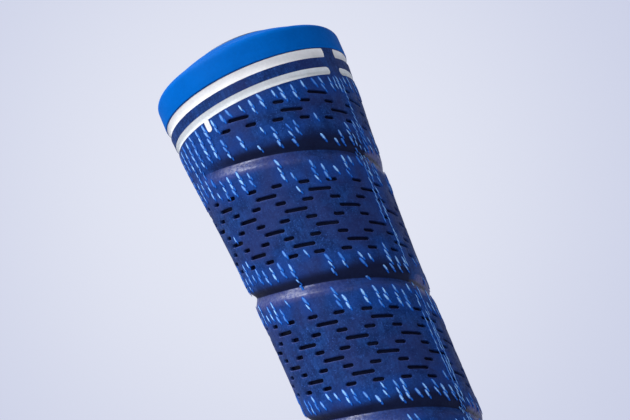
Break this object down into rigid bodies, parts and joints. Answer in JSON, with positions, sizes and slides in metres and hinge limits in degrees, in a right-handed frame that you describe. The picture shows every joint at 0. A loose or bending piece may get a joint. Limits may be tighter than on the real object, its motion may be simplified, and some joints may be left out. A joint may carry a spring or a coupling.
{
  "type": "golf grip",
  "caption": "Slip-on rubber handle for a golf club shaft, with a spiral wrap groove, cord-textured skin, painted rings and a domed, vented end cap over a tapered bore.",
  "frame": {"origin": "centre of the mouth face, the open end that goes over the shaft first", "axes": "+Z along the grip's axis from the mouth to the domed cap; -Y is the side that the painted rings' alignment tick is nearest to"},
  "size_m": [0.0278, 0.0278, 0.2696],
  "materials": {
    "core_rubber": "moulded, matt",
    "cushion_rubber": "soft, matt",
    "cap_rubber": "satin, bright blue",
    "emblem_paint": "satin, slate blue",
    "cord_fabric": "twisted cotton cord, stained blue",
    "skin_rubber": "navy blue, fine-grained, with cord worn through",
    "white_paint": "satin white paint fill"
  },
  "bodies": {
    "root": {"inner_sleeve": "core_rubber", "cushion_sleeve": "cushion_rubber", "end_cap": "cap_rubber", "cap_emblem_ring": "emblem_paint", "cord_fabric_front": "cord_fabric", "cord_fabric_rear": "cord_fabric", "outer_skin_front": "skin_rubber", "outer_skin_rear": "skin_rubber", "upper_stripe_front": "white_paint", "upper_stripe_rear": "white_paint", "lower_stripe_front": "white_paint", "lower_stripe_rear": "white_paint", "alignment_tick": "white_paint"}
  },
  "joints": []
}
